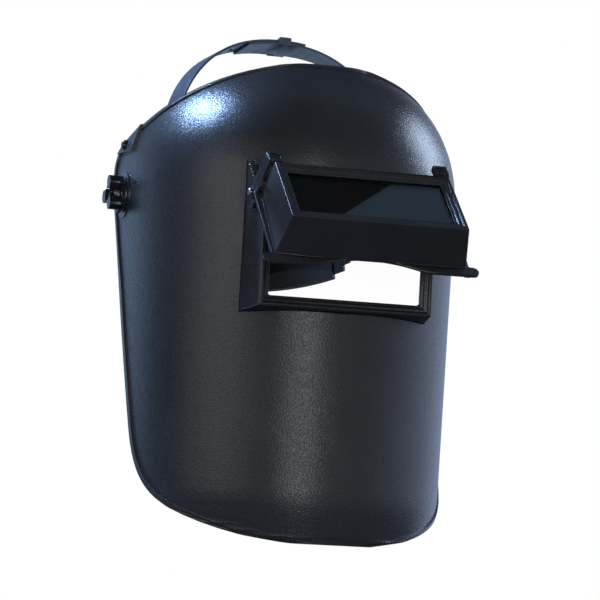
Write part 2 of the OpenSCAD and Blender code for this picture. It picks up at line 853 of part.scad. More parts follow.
// A point on the arch of the crown strap: u runs from 0 at the right base to 180 at the left base
function crown_at(u, o, y) =
  let (k = 2 / (crown_power + crown_flare * y / crown_w), c = cos(u))
  [
    -(head_side(crown_front + y, crown_o) + o) * sign(c) * pow(abs(c), k), crown_front + y,
    crown_base + (crown_h + crown_rise * y / crown_w - crown_t - crown_base + o) * pow(sin(u), k)
  ];

module crown_sheet(u0, u1, o0, o1, y0, y1, steps) {
  turns = [for (k = [0:steps]) u0 + (u1 - u0) * k / steps];
  thick_sheet(
    [for (y = [y1, y0]) [for (u = turns) crown_at(u, o1, y)]],
    [for (y = [y1, y0]) [for (u = turns) crown_at(u, o0, y)]]
  );
}

// Lower half, with the keeper loop that the other half slides through
module crown_strap_left() {
  low = -crown_t - seat_gap;
  top = crown_t + seat_gap + keeper_t;
  color("#3a4454") leaned() difference() {
    union() {
      crown_sheet(76, 150, low, -seat_gap, 0, crown_w, 20);
      crown_sheet(150, 180, low, crown_t, 0, crown_w, 8);
      crown_sheet(89.4, 93.4, low, top, -keeper_wall - seat_gap, crown_w + keeper_wall + seat_gap, 4);
    }
    crown_sheet(88, 95, -seat_gap, crown_t + seat_gap, -seat_gap, crown_w + seat_gap, 7);
    rivet_holes([82]);
  }
}

// Upper half, with the slots that set the strap's length
module crown_strap_right() {
  color("#3a4454") leaned() difference() {
    crown_sheet(0, 100, 0, crown_t, 0, crown_w, 28);
    for (u = [63.5, 71.5]) translate(crown_at(u, 0, crown_w / 2)) rotate([0, 90 - u, 0])
      block([-1.5, -5, -3], [1.5, 5, 6]);
    mirror([1, 0, 0]) rivet_holes([82]);
  }
}

// Strap from a temple to the ratchet, with a toothed slot at the nape
module nape_strap(rise, tooth_side) {
  color("#1d2027") leaned() difference() {
    head_band(64, 200, strap_o, strap_o + strap_t, strap_low, strap_top, 34, rise);
    rivet_holes([70, 82]);
    for (k = [0:14])
      translate(head_at(164 + 2 * k, strap_o - past, ratchet_z))
        rotate([0, 0, head_turn(164 + 2 * k, strap_o)]) rack_cut(k % 2 * tooth_side);
  }
}

module rack_cut(tooth_side) {
  plain = pinion_r + 0.4;
  block([0, -1.7, -plain - max(0, -tooth_side)], [8, 1.7, plain + max(0, tooth_side)]);
}

module nape_strap_left() nape_strap(0, 1);
module nape_strap_right() mirror([1, 0, 0]) nape_strap(strap_t + seat_gap, -1);

// Pad at the nape, with a stepped clip at each end
module nape_pad() {
  pad_low = -16.5;
  pad_top = 12;
  pad_in = band_o - 5;
  pad_out = base_o - seat_gap;
  color("#191b20") leaned() union() {
    head_band(132, 228, pad_in, pad_out, pad_low, pad_top, 20);
    both() {
      head_band(122.7, 133, pad_in + 1, pad_out - 1, -9, pad_top, 3);
      head_band(126.2, 133, pad_in + 1, pad_out - 1, -13.5, pad_top, 2);
    }
  }
}

// Ratchet, with its cover shaped to the nape

module ratchet_base() {
  color("#17191e") leaned() head_band(
    180 - ratchet_reach, 180 + ratchet_reach, base_o, strap_o - seat_gap,
    ratchet_z - ratchet_h / 2, ratchet_z + ratchet_h / 2, 12
  );
}

module ratchet_cover() {
  low = ratchet_z - ratchet_h / 2;
  top = ratchet_z + ratchet_h / 2;
  side = 4;
  from = 180 - ratchet_reach;
  upto = 180 + ratchet_reach;
  color("#17191e") leaned() difference() {
    head_band(from, upto, strap_o, cover_o + cover_t2, low, top, 12);
    head_band(from - 3, upto + 3, strap_o - past, cover_o, low + side, top - side, 14);
    translate([0, nape_y, ratchet_z]) rotate([-90, 0, 0]) cylinder(h = 40, r = spindle_r + pin_gap);
  }
}

module ratchet_pinion() {
  gear_y = nape_y + strap_o + 0.1;
  gear_t = cover_o - strap_o - 0.2;
  color("#c8c8c4") leaned() translate([0, gear_y, ratchet_z]) rotate([-90, 0, 0]) {
    cylinder(h = gear_t, r = pinion_r - 1);
    for (k = [0:pinion_teeth - 1]) rotate([0, 0, k * 360 / pinion_teeth])
      block([0, -0.6, 0], [pinion_r - 0.1, 0.6, gear_t]);
    translate([0, 0, gear_t]) cylinder(h = ratchet_knob_y + 7 - gear_y - gear_t, r = spindle_r);
  }
}

// Turning knob with a ribbed grip
module ratchet_knob() {
  color("#101115") leaned() translate([0, ratchet_knob_y, ratchet_z]) rotate([-90, 0, 0]) difference() {
    union() {
      cylinder(h = ratchet_knob_t - 1.5, r = ratchet_knob_r);
      cylinder(h = ratchet_knob_t, r = ratchet_knob_r - 1.5);
      for (k = [0:grip_ribs - 1]) rotate([0, 0, k * 360 / grip_ribs])
        translate([ratchet_knob_r, 0, 0]) cylinder(h = ratchet_knob_t - 2, r = 1.2);
    }
    translate([0, 0, -past]) cylinder(h = 8 + fixed_gap, r = spindle_r + fixed_gap);
    translate([0, 0, ratchet_knob_t - 2]) difference() {
      cylinder(h = 3, r = ratchet_knob_r - 4);
      translate([0, 0, -past]) cylinder(h = 5, r = ratchet_knob_r - 9);
    }
  }
}

shell();
lens_frame();
clear_lens();
clear_lens_spring();
hinge_pin_left();
hinge_pin_right();
stop_pin_left();
stop_pin_right();
lift_front();
cover_lens();
shade_gasket();
shade_lens();
shade_lens_spring();
knob_left();
knob_right();
knob_insert_left();
knob_insert_right();
knob_washer_left();
knob_washer_right();
friction_washer_left();
friction_washer_right();
pivot_bolt_left();
pivot_bolt_right();
side_arm_left();
side_arm_right();
forehead_band();
sweatband();
crown_strap_left();
crown_strap_right();
nape_strap_left();
nape_strap_right();
nape_pad();
band_rivets();
ratchet_base();
ratchet_cover();
ratchet_pinion();
ratchet_knob();
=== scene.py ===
"""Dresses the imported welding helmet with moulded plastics, glass, padding and studio light."""

import json
import math

import bmesh
import bpy
from bpy.props import FloatProperty, FloatVectorProperty, IntProperty, PointerProperty
from mathutils import Matrix, Vector

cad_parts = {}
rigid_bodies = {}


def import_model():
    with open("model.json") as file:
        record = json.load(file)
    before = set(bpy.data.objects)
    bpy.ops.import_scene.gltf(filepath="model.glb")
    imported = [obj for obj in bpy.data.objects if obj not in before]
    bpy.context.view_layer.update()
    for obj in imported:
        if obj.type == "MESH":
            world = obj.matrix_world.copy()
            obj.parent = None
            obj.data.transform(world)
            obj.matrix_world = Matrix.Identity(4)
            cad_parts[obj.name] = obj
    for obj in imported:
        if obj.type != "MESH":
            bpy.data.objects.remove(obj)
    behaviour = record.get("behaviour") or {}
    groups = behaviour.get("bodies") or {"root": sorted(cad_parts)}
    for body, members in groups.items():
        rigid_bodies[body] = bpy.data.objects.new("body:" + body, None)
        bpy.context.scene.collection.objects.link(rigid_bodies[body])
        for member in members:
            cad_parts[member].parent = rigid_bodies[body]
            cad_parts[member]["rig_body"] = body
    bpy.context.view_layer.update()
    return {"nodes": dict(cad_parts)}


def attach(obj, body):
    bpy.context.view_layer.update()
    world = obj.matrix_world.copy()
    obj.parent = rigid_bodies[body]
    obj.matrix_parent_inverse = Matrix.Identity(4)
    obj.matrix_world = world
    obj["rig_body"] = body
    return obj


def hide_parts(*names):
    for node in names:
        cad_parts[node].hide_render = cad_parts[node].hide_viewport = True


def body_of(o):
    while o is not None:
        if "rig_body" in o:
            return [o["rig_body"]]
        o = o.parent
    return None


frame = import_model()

bl_info = {
    "name": "Welding Helmet",
    "version": (1, 0, 0),
    "blender": (4, 5, 0),
    "location": "View3D > Sidebar > Helmet",
    "description": "Finishes a packed welding helmet and sets up its studio",
    "category": "Object",
}

NODES = frame["nodes"]
SIDES = ("left", "right")
MM = 0.001

# Mesh work: metres, degrees, and shares of an edge's room
WELD = 2e-6
FLAT_ANGLE = 0.4
CREASE = 32.0
SHELL_CREASE = 30.0
EDGE_ROOM = 0.42
EDGE_SEGMENTS = 2
TRIM_SEGMENTS = 3
SPLIT_CORNERS = 5
EASE_RATE = 3.0
CLOTH_SMOOTHINGS = 2
CLOTH_SMOOTHING = 0.5

# Node work: where a Mix node keeps its colours, and where a noise has most of its contrast
MIX_INPUTS = (0, 6, 7)
MIX_RESULT = 2
NOISE_LOW = 0.3
NOISE_HIGH = 0.7
BEVEL_SAMPLES = 8
WHITE = (1.0, 1.0, 1.0, 1.0)

# Floor: metres from its middle, metres towards the back, and colours
FLOOR_RADIUS = 1.6
FLOOR_SIDES = 96
FLOOR_FADE = (0.15, 0.95)
FLOOR_BACK = (0.25, 0.70)
FLOOR_PALE = (0.80, 0.81, 0.83, 1.0)
FLOOR_PALER = (0.84, 0.85, 0.86, 1.0)
FLOOR_DARK = (0.08, 0.08, 0.085, 1.0)
FLOOR_BLUE = (0.50, 0.71, 1.0, 1.0)

# Room: ranges of the way that a ray goes, with +Y to the back and +Z up, and colours
BACKDROP_BACK = (0.70, 0.85)
BACKDROP_TOP = (0.10, 0.36)
BACKDROP_SEEN = (0.3, 0.6)
BACKDROP = (0.36, 0.53, 0.80, 1.0)
WALL_HEIGHT = (0.05, 0.55)
WALL_FRONT = (-0.2, 0.3)
WALL_GREY = (0.40, 0.41, 0.45, 1.0)
WALL_RIGHT = (0.35, 0.90)
WALL_RIGHT_X = 0.906
WALL_RIGHT_Y = 0.423
WALL_BLUE = (0.60, 0.70, 1.0, 1.0)
ROOM_DARK = (0.02, 0.021, 0.024, 1.0)
SOFT_HEIGHT = (-0.3, 0.3)
SOFT_LOW = (0.24, 0.25, 0.28, 1.0)
SOFT_HIGH = (0.62, 0.64, 0.70, 1.0)

# Lights: name, place, width and height, setting of the level, colour
SOFT_BOXES = (
    ("Front light", (-0.36, -2.60, 0.02), (0.52, 1.05), "front_level", (0.92, 0.97, 1.0)),
    ("Left light", (-1.89, -0.47, 0.30), (1.6, 1.0), "left_level", (0.97, 0.98, 1.0)),
    ("Right light", (1.80, 0.40, 0.84), (1.0, 0.85), "right_level", (0.62, 0.75, 1.0)),
    ("Dome light", (-0.825, 0.83, 1.04), (0.22, 0.11), "dome_level", (0.36, 0.57, 1.0)),
)
SOFT_BOX_AIM = Vector((0.0, -0.05, -0.02))
CARD_PLACE = (0.552, -0.066, 1.2)
CARD_SIZE = (0.5, 1.0)
CARD_TURN = -55.4
CARD_COLOUR = (0.42, 0.68, 1.0)

# Camera: the middle of the lift hinge, which its distance is taken from, and its fixed values
LIFT_HINGE = Vector((0.0, -0.153, -0.0055))
SENSOR_WIDTH = 36.0
CLIP_START = 0.05
CLIP_END = 60.0


def shade(name, about, default):
    """Colour setting."""
    return FloatVectorProperty(
        name=name, description=about, subtype="COLOR", size=3, min=0.0, max=1.0, default=default
    )


def length(name, about, default):
    """Length setting, in metres."""
    return FloatProperty(
        name=name, description=about, unit="LENGTH", subtype="DISTANCE", min=0.0, default=default
    )


def angle(name, about, degrees):
    """Angle setting, given in degrees."""
    return FloatProperty(
        name=name, description=about, subtype="ANGLE", default=math.radians(degrees)
    )


def power(name, about, default):
    """Setting of a light's power, in watts."""
    return FloatProperty(name=name, description=about, unit="POWER", default=default)


class HelmetFinish(bpy.types.PropertyGroup):
    """Colours and surface sizes of the helmet."""

    shell: shade("Shell", "Blue-black of the pebbled shell", (0.0178, 0.0197, 0.0245))
    trim: shade("Trim", "Black of the lens frame and the lift front", (0.0190, 0.0202, 0.0238))
    strap: shade("Straps", "Grey-blue of the crown strap", (0.0610, 0.0790, 0.1110))
    gear: shade("Headgear", "Black of the head bands and the ratchet", (0.0065, 0.0067, 0.0072))
    knob: shade("Knobs", "Black of the knobs, stop pins and rivets", (0.0080, 0.0085, 0.0100))
    rack: shade("Pinion", "Pale grey of the ratchet's pinion", (0.55, 0.54, 0.50))
    shade_glass: shade("Shade lens", "Green-black of the shade glass", (0.0030, 0.0036, 0.0032))
    gasket: shade("Gasket", "Black of the gasket's rubber", (0.012, 0.012, 0.013))
    padding: shade("Padding", "Dark grey of the sweatband cloth", (0.0260, 0.0270, 0.0300))
    fibre: shade("Fibre", "Brown of the friction washers", (0.11, 0.045, 0.028))
    brass: shade("Brass", "Yellow of the knob inserts", (0.60, 0.42, 0.16))
    pin_steel: shade("Pin steel", "Grey of the pins, bolts and washers", (0.34, 0.35, 0.37))
    spring_steel: shade("Spring steel", "Bright grey of the lens springs", (0.52, 0.53, 0.55))
    pebble: length("Pebble", "Width of one pebble of the shell's grain", 0.9 * MM)
    pebble_height: length("Pebble height", "Depth of the shell's grain", 0.105 * MM)
    pivot_room: length(
        "Pivot room", "Reach round the tilt axis where the shell keeps its CAD form", 20.0 * MM
    )
    shell_edge: length("Shell edge", "Rounding of the shell's edges", 0.5 * MM)
    trim_edge: length("Trim edge", "Rounding of the lens frame and the lift front", 1.2 * MM)
    trim_soft: length("Trim softness", "Last softening of the trim's edges", 1.0 * MM)
    band_edge: length("Band edge", "Rounding of the straps and bands", 0.35 * MM)
    small_edge: length("Small edge", "Rounding of pins, washers and clips", 0.25 * MM)
    lens_edge: length("Lens edge", "Ground edge of the lenses", 0.3 * MM)


class HelmetPadding(bpy.types.PropertyGroup):
    """How the sweatband is filled."""

    voxel: length("Voxel", "Mesh size of the padding before it swells", 3.0 * MM)
    swell: length("Swell", "Most that the padding swells", 1.2 * MM)
    pressure: FloatProperty(
        name="Pressure", description="Air pressure inside the padding", min=0.0, default=3.0
    )
    frames: IntProperty(
        name="Frames", description="Steps that the padding swells for", min=1, default=16
    )


class HelmetStage(bpy.types.PropertyGroup):
    """Camera, floor and light."""

    azimuth: angle("Azimuth", "Turn of the camera round the helmet", -18.15)
    elevation: angle("Elevation", "Angle of the camera above the lift hinge", -5.22)
    roll: angle("Roll", "Turn of the picture", 3.01)
    distance: length("Distance", "From the lift hinge to the camera", 2.1909)
    lens: FloatProperty(
        name="Lens", description="Focal length in millimetres", unit="CAMERA", default=203.7
    )
    aim_side: FloatProperty(
        name="Aim side", description="Sideways aim of the camera", default=-0.01495
    )
    aim_up: FloatProperty(name="Aim up", description="Upward aim of the camera", default=-0.02945)
    floor_drop: FloatProperty(
        name="Floor", description="Height of the floor", unit="LENGTH", subtype="DISTANCE",
        default=-0.40,
    )
    front_level: power("Front light", "Power of the front soft box", 8.8)
    left_level: power("Left light", "Power of the soft box on the left", 4.6)
    right_level: power("Right light", "Power of the soft box on the right", 21.0)
    dome_level: power("Dome light", "Power of the small light behind the dome", 28.0)
    card_level: power("Card", "Power of the card over the glass", 0.27)


class Nodes:
    """Node tree of one material or world, with short calls to add and join nodes."""

    def __init__(self, owner):
        owner.use_nodes = True
        self.tree = owner.node_tree

    def add(self, kind, settings=None, **inputs):
        """New node with its settings, and its inputs set or joined by name."""
        node = self.tree.nodes.new(kind)
        for key, value in (settings or {}).items():
            setattr(node, key, value)
        for key, value in inputs.items():
            self.put(node, key.replace("_", " "), value)
        return node

    def put(self, node, key, value):
        """Sets a socket, or joins it where the value is another socket."""
        socket = node.inputs[key]
        if isinstance(value, bpy.types.NodeSocket):
            self.tree.links.new(value, socket)
        else:
            socket.default_value = value

    def noise(self, place, scale, detail=2.0, roughness=0.5):
        """Noise value at a place, with a scale per metre."""
        return self.add(
            "ShaderNodeTexNoise", Vector=place, Scale=scale, Detail=detail, Roughness=roughness
        ).outputs["Fac"]

    def spread(self, value, low=NOISE_LOW, high=NOISE_HIGH, to_low=0.0, to_high=1.0):
        """Value carried from one range into another, held at its ends."""
        node = self.add(
            "ShaderNodeMapRange",
            Value=value, From_Min=low, From_Max=high, To_Min=to_low, To_Max=to_high,
        )
        return node.outputs["Result"]

    def math(self, operation, first, second=0.0):
        """Arithmetic on two values."""
        node = self.add("ShaderNodeMath", {"operation": operation})
        self.put(node, 0, first)
        self.put(node, 1, second)
        return node.outputs[0]

    def tint(self, factor, first, second):
        """Colour between two colours."""
        node = self.add("ShaderNodeMix", {"data_type": "RGBA"})
        for key, value in zip(MIX_INPUTS, (factor, first, second)):
            self.put(node, key, value)
        return node.outputs[MIX_RESULT]

    def seen(self):
        """1 for rays from the camera, and for those that glass sends on."""
        path = self.add("ShaderNodeLightPath").outputs
        return self.math("MAXIMUM", path["Is Camera Ray"], path["Is Transmission Ray"])


class Surface(Nodes):
    """One material with its shader and its Object coordinates."""

    def __init__(self, name):
        self.material = bpy.data.materials.new(name)
        super().__init__(self.material)
        self.shader = self.tree.nodes["Principled BSDF"]
        self.place = self.add("ShaderNodeTexCoord").outputs["Object"]

    def give(self, **inputs):
        """Sets or joins inputs of the shader."""
        for key, value in inputs.items():
            self.put(self.shader, key.replace("_", " "), value)

    def grain(self, scale, detail=2.0, roughness=0.5):
        """Noise value on the surface, with a scale per metre."""
        return self.noise(self.place, scale, detail, roughness)

    def bump(self, height, strength, depth, **under):
        """Raises the surface by a height value, over another normal where one is given."""
        node = self.add(
            "ShaderNodeBump", Strength=strength, Distance=depth, Height=height, **under
        )
        self.give(Normal=node.outputs["Normal"])

    def mottle(self, value, colour, dark, light):
        """Colours the surface from darker to lighter by a noise value."""
        self.give(Base_Color=self.tint(self.spread(value), rgba(colour, dark), rgba(colour, light)))

    def roughen(self, value, smooth, rough, low=NOISE_LOW, high=NOISE_HIGH):
        """Makes the surface from smooth to rough by a noise value."""
        self.give(Roughness=self.spread(value, low, high, smooth, rough))


def rgba(colour, gain):
    """Colour with its alpha, made lighter or darker by a gain."""
    return (*[min(1.0, part * gain) for part in colour], 1.0)


def pebbled_plastic(name, look):
    """Moulded shell plastic with a leather-like pebble grain and a dull coat."""
    surface = Surface(name)
    cells = surface.add(
        "ShaderNodeTexVoronoi", {"feature": "SMOOTH_F1"},
        Vector=surface.place, Scale=1.0 / look.pebble, Smoothness=0.3,
    ).outputs["Distance"]
    domes = surface.spread(cells, low=0.05, high=0.75, to_low=1.0, to_high=0.0)
    skin_share = 0.35
    skin = surface.math("MULTIPLY", surface.grain(scale=3200.0), skin_share)
    surface.bump(surface.math("ADD", domes, skin), strength=0.85, depth=look.pebble_height)
    surface.mottle(surface.grain(scale=26.0, detail=3.0), look.shell, dark=0.86, light=1.16)
    surface.roughen(surface.grain(scale=900.0), smooth=0.19, rough=0.32, low=0.35)
    surface.give(Coat_Weight=0.22, Coat_Roughness=0.58)
    return surface.material


def moulded_plastic(name, colour, roughness, gloss=0.5, soft=0.0):
    """Smooth moulded plastic with a fine mould skin, handling marks and softened edges."""
    surface = Surface(name)
    edges = {}
    if soft > 0:
        bevel = surface.add("ShaderNodeBevel", {"samples": BEVEL_SAMPLES}, Radius=soft)
        edges["Normal"] = bevel.outputs["Normal"]
    surface.bump(surface.grain(scale=2600.0), strength=0.6, depth=0.02 * MM, **edges)
    surface.mottle(surface.grain(scale=38.0, detail=3.0), colour, dark=0.88, light=1.14)
    marks = surface.grain(scale=150.0, detail=5.0, roughness=0.65)
    handling = 0.06
    surface.roughen(marks, roughness - handling, roughness + handling, low=0.35)
    surface.give(Specular_IOR_Level=gloss)
    return surface.material


def clear_glass(name, bend):
    """Colourless plate glass with faint smears, which bends and mirrors light by its index."""
    surface = Surface(name)
    surface.give(Transmission_Weight=1.0, IOR=bend)
    smear = surface.grain(scale=45.0, detail=4.0, roughness=0.6)
    greenish = (0.985, 0.995, 0.99, 1.0)
    surface.give(Base_Color=surface.tint(surface.spread(smear), greenish, WHITE))
    surface.roughen(smear, smooth=0.0, rough=0.03, low=0.5, high=0.75)
    return surface.material


def dark_glass(name, colour):
    """Welding shade glass, close to black, with faint smears."""
    surface = Surface(name)
    smear = surface.grain(scale=40.0, detail=4.0, roughness=0.6)
    surface.mottle(smear, colour, dark=0.85, light=1.2)
    surface.roughen(smear, smooth=0.02, rough=0.07, low=0.4, high=0.75)
    surface.give(IOR=1.52)
    return surface.material


def drawn_metal(name, colour, roughness):
    """Drawn or turned metal with fine lines and slight tarnish."""
    surface = Surface(name)
    drawn = surface.add("ShaderNodeMapping", Vector=surface.place, Scale=(1.0, 9.0, 9.0))
    lines = surface.noise(drawn.outputs["Vector"], scale=420.0, detail=3.0)
    surface.bump(lines, strength=0.25, depth=0.02 * MM)
    surface.mottle(surface.grain(scale=120.0, detail=3.0), colour, dark=0.8, light=1.05)
    polish, tarnish = 0.06, 0.08
    surface.roughen(lines, roughness - polish, roughness + tarnish)
    surface.give(Metallic=1.0)
    return surface.material


def soft_matte(name, colour, scale):
    """Pressed fibre or rubber with a coarse dull grain."""
    surface = Surface(name)
    speck = surface.grain(scale, detail=4.0, roughness=0.6)
    surface.bump(speck, strength=0.7, depth=0.06 * MM)
    surface.mottle(speck, colour, dark=0.75, light=1.25)
    surface.roughen(speck, smooth=0.72, rough=0.9)
    return surface.material


def knit_cloth(name, colour):
    """Brushed knit over foam: crossed ribs with a little fuzz, and painted shade between the ribs.
    """
    surface = Surface(name)
    ribs = []
    for turn in (math.radians(45.0), math.radians(-45.0)):
        turned = surface.add("ShaderNodeMapping", Vector=surface.place, Rotation=(turn, 0.0, turn))
        wave = surface.add(
            "ShaderNodeTexWave", {"bands_direction": "Z"}, Vector=turned.outputs["Vector"],
            Scale=180.0, Distortion=1.2, Detail=1.0, Detail_Scale=1.5,
        )
        ribs.append(wave.outputs["Fac"])
    fuzz = surface.grain(scale=1900.0, detail=3.0)
    fuzz_share = 0.5
    height = surface.math(
        "ADD", surface.math("MULTIPLY", *ribs), surface.math("MULTIPLY", fuzz, fuzz_share)
    )
    surface.bump(height, strength=0.9, depth=0.25 * MM)
    # The colour follows the ribs' height: painted shade darkens the valleys and the rib tops are
    # painted lighter.
    dark, light = 0.6, 1.5
    surface.give(Base_Color=surface.tint(height, rgba(colour, dark), rgba(colour, light)))
    surface.roughen(fuzz, smooth=0.82, rough=0.95)
    surface.give(Sheen_Weight=0.35, Sheen_Roughness=0.5)
    return surface.material


def finishes(look):
    """Maker and values of every finish, by the name of its material."""
    return {
        "Pebbled shell": (pebbled_plastic, dict(look=look)),
        "Trim plastic": (
            moulded_plastic, dict(colour=look.trim, roughness=0.25, soft=look.trim_soft)
        ),
        "Knob plastic": (moulded_plastic, dict(colour=look.knob, roughness=0.24)),
        "Headgear plastic": (moulded_plastic, dict(colour=look.gear, roughness=0.50, gloss=0.18)),
        "Strap plastic": (moulded_plastic, dict(colour=look.strap, roughness=0.36, gloss=0.4)),
        "Rack plastic": (moulded_plastic, dict(colour=look.rack, roughness=0.42)),
        "Clear lens": (clear_glass, dict(bend=1.2)),
        "Cover lens": (clear_glass, dict(bend=1.5)),
        "Shade lens": (dark_glass, dict(colour=look.shade_glass)),
        "Spring steel": (drawn_metal, dict(colour=look.spring_steel, roughness=0.32)),
        "Pin steel": (drawn_metal, dict(colour=look.pin_steel, roughness=0.36)),
        "Turned brass": (drawn_metal, dict(colour=look.brass, roughness=0.3)),
        "Gasket rubber": (soft_matte, dict(colour=look.gasket, scale=1500.0)),
        "Pressed fibre": (soft_matte, dict(colour=look.fibre, scale=1400.0)),
        "Sweatband cloth": (knit_cloth, dict(colour=look.padding)),
    }


def finish_of(look, name):
    """Material of a finish, made once and then shared."""
    maker, values = finishes(look)[name]
    return bpy.data.materials.get(name) or maker(name, **values)


def link(piece):
    """Puts a new object into the scene."""
    bpy.context.scene.collection.objects.link(piece)
    return piece


def new_piece(name, mesh_name, form):
    """New object with the shape of a form, which is used up."""
    mesh = bpy.data.meshes.new(mesh_name)
    form.to_mesh(mesh)
    form.free()
    return link(bpy.data.objects.new(name, mesh))


def cad_form(node):
    """Copy of a CAD node's shape with its loose triangles joined."""
    form = bmesh.new()
    form.from_mesh(NODES[node].data)
    bmesh.ops.remove_doubles(form, verts=form.verts, dist=WELD)
    return form


def stand_for(piece, node):
    """Makes a piece stand for a CAD node and ride on its body."""
    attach(piece, body_of(NODES[node])[0])
    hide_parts(node)


def settled(piece):
    """New mesh of a piece with its modifiers."""
    graph = bpy.context.evaluated_depsgraph_get()
    return bpy.data.meshes.new_from_object(piece.evaluated_get(graph))


def bake_modifiers(piece):
    """Makes a piece's modifiers part of its mesh."""
    mesh = settled(piece)
    piece.modifiers.clear()
    piece.data = mesh


def divide(piece, name):
    """Adds one level of subdivision to a piece."""
    finer = piece.modifiers.new(name, "SUBSURF")
    finer.levels = finer.render_levels = 1
    return finer


def weigh_edges(form, edge, sharp):
    """Share of the rounding that each sharp edge has room for beside its neighbours."""
    layer = form.edges.layers.float.new("bevel_weight_edge")
    for line in form.edges:
        if line.is_manifold and line.calc_face_angle() > sharp:
            room = min(near.calc_length() for corner in line.verts for near in corner.link_edges)
            line[layer] = min(1.0, EDGE_ROOM * room / edge)


def dressed(
    look, node, finish, edge, segments=EDGE_SEGMENTS, crease=CREASE, roomy=False, hard=True
):
    """Rounded, smooth copy of one CAD node, which it stands for and whose body it rides on.

    A roomy piece has each edge rounded as far as its own neighbours allow. A hard one keeps its
    flats flat.
    """
    sharp = math.radians(crease)
    form = cad_form(node)
    bmesh.ops.dissolve_degenerate(form, dist=WELD, edges=form.edges)
    bmesh.ops.dissolve_limit(
        form, angle_limit=math.radians(FLAT_ANGLE), use_dissolve_boundaries=False,
        verts=form.verts, edges=form.edges,
    )
    if roomy:
        bmesh.ops.connect_verts_concave(form, faces=form.faces)
        weigh_edges(form, edge, sharp)
    piece = new_piece(node + "_finished", node + "_form", form)
    piece.data.materials.append(finish_of(look, finish))
    piece.data.shade_smooth()
    piece.data.set_sharp_from_angle(angle=sharp)
    if edge > 0:
        rounding = piece.modifiers.new("Rounded edges", "BEVEL")
        rounding.width = edge
        rounding.segments = segments
        rounding.limit_method = "WEIGHT" if roomy else "ANGLE"
        rounding.angle_limit = sharp
        rounding.use_clamp_overlap = not roomy
        rounding.loop_slide = not roomy
        rounding.harden_normals = hard
        rounding.miter_outer = "MITER_ARC"
    stand_for(piece, node)
    return piece


def ease_curves(piece, room):
    """Divides a piece into finer curves, which fade out into its own form near the tilt axis."""
    piece.modifiers.new("Split faces", "TRIANGULATE").min_vertices = SPLIT_CORNERS
    curves = divide(piece, "Finer curves")
    curves.subdivision_type = "SIMPLE"
    plain = settled(piece)
    curves.subdivision_type = "CATMULL_CLARK"
    bake_modifiers(piece)
    for vertex, start in zip(piece.data.vertices, plain.vertices):
        reach = math.hypot(start.co.y, start.co.z)
        share = min(1.0, max(0.0, EASE_RATE * (reach / room - 1.0)))
        vertex.co = start.co.lerp(vertex.co, share)
    bpy.data.meshes.remove(plain)


def swell(scene, pad, sewing):
    """Swells the padding with air pressure, no point further than the limit."""
    start = [vertex.co.copy() for vertex in pad.data.vertices]
    cloth = pad.modifiers.new("Filling", "CLOTH")
    cloth.settings.use_pressure = True
    cloth.settings.uniform_pressure_force = sewing.pressure
    cloth.settings.effector_weights.gravity = 0.0
    for step in range(1, sewing.frames + 1):
        scene.frame_set(step)
    bake_modifiers(pad)
    scene.frame_set(1)
    for vertex, origin in zip(pad.data.vertices, start):
        move = vertex.co - origin
        if move.length > sewing.swell:
            vertex.co = origin + move.normalized() * sewing.swell


def smooth_cloth(pad):
    """Takes the small steps out of the padding's mesh."""
    form = bmesh.new()
    form.from_mesh(pad.data)
    for _ in range(CLOTH_SMOOTHINGS):
        bmesh.ops.smooth_vert(
            form, verts=form.verts, factor=CLOTH_SMOOTHING,
            use_axis_x=True, use_axis_y=True, use_axis_z=True,
        )
    form.to_mesh(pad.data)
    form.free()


class HELMET_OT_shell(bpy.types.Operator):
    """Finishes the pebbled face shell"""

    bl_idname = "helmet.shell"
    bl_label = "Shell"

    def execute(self, context):
        look = context.scene.helmet_finish
        shell = dressed(
            look, "shell", "Pebbled shell", look.shell_edge, crease=SHELL_CREASE, hard=False
        )
        ease_curves(shell, look.pivot_room)
        return {"FINISHED"}


class HELMET_OT_window(bpy.types.Operator):
    """Finishes the fixed lens frame, its clear lens and the spring"""

    bl_idname = "helmet.window"
    bl_label = "Fixed window"

    def execute(self, context):
        look = context.scene.helmet_finish
        dressed(look, "lens_frame", "Trim plastic", look.trim_edge, TRIM_SEGMENTS, roomy=True)
        dressed(look, "clear_lens", "Clear lens", look.lens_edge)
        dressed(look, "clear_lens_spring", "Spring steel", 0.0)
        return {"FINISHED"}


class HELMET_OT_lift_front(bpy.types.Operator):
    """Finishes the lift front and the lenses that it holds"""

    bl_idname = "helmet.lift_front"
    bl_label = "Lift front"

    def execute(self, context):
        look = context.scene.helmet_finish
        dressed(look, "lift_front", "Trim plastic", look.trim_edge, TRIM_SEGMENTS, roomy=True)
        dressed(look, "cover_lens", "Cover lens", look.lens_edge)
        dressed(look, "shade_lens", "Shade lens", look.lens_edge)
        dressed(look, "shade_gasket", "Gasket rubber", look.small_edge)
        dressed(look, "shade_lens_spring", "Spring steel", 0.0)
        return {"FINISHED"}


class HELMET_OT_pins(bpy.types.Operator):
    """Finishes the hinge pins and the stop pins"""

    bl_idname = "helmet.pins"
    bl_label = "Pins"

    def execute(self, context):
        look = context.scene.helmet_finish
        for side in SIDES:
            dressed(look, "hinge_pin_" + side, "Pin steel", look.small_edge)
            dressed(look, "stop_pin_" + side, "Knob plastic", look.small_edge)
        return {"FINISHED"}


class HELMET_OT_pivots(bpy.types.Operator):
    """Finishes the tilt knobs with their hardware and the side arms"""

    bl_idname = "helmet.pivots"
    bl_label = "Tilt pivots"

    def execute(self, context):
        look = context.scene.helmet_finish
        for side in SIDES:
            dressed(look, "knob_" + side, "Knob plastic", look.small_edge)
            dressed(look, "knob_insert_" + side, "Turned brass", look.small_edge)
            dressed(look, "knob_washer_" + side, "Pin steel", look.small_edge)
            dressed(look, "friction_washer_" + side, "Pressed fibre", look.small_edge)
            dressed(look, "pivot_bolt_" + side, "Pin steel", look.small_edge)
            dressed(look, "side_arm_" + side, "Headgear plastic", look.band_edge, roomy=True)
        return {"FINISHED"}


